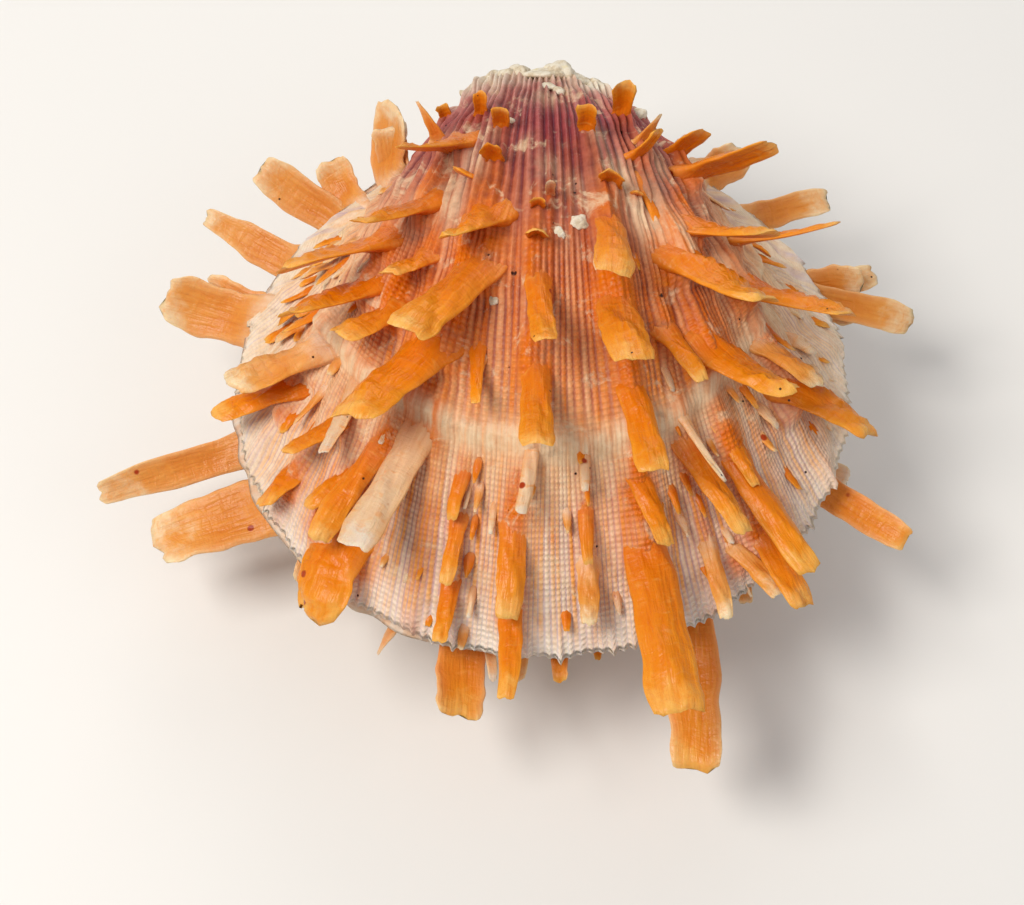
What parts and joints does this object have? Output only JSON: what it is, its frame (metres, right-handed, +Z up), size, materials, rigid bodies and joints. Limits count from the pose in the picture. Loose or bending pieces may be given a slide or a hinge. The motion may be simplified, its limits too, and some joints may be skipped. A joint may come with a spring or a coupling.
{
  "type": "spiny oyster shell",
  "caption": "Closed pair of domed, ribbed seashell valves with channelled blade-like spines along the ribs, resting on a flat scar.",
  "frame": {"origin": "middle of the flat scar under the lower valve, where the shell was cemented to rock, on the resting plane", "axes": "+Z up from the scar through the upper valve, -Y towards the free margin, +Y towards the beaks, +X to the right seen from the free margin"},
  "size_m": [0.1391, 0.1213, 0.0696],
  "materials": {
    "upper_shell": "waxy calcite, orange spines on salmon and purple ribs",
    "lower_shell": "waxy calcite, pale peach spines on a chalky white wall"
  },
  "bodies": {
    "root": {"upper_valve": "upper_shell", "lower_valve": "lower_shell"}
  },
  "joints": []
}
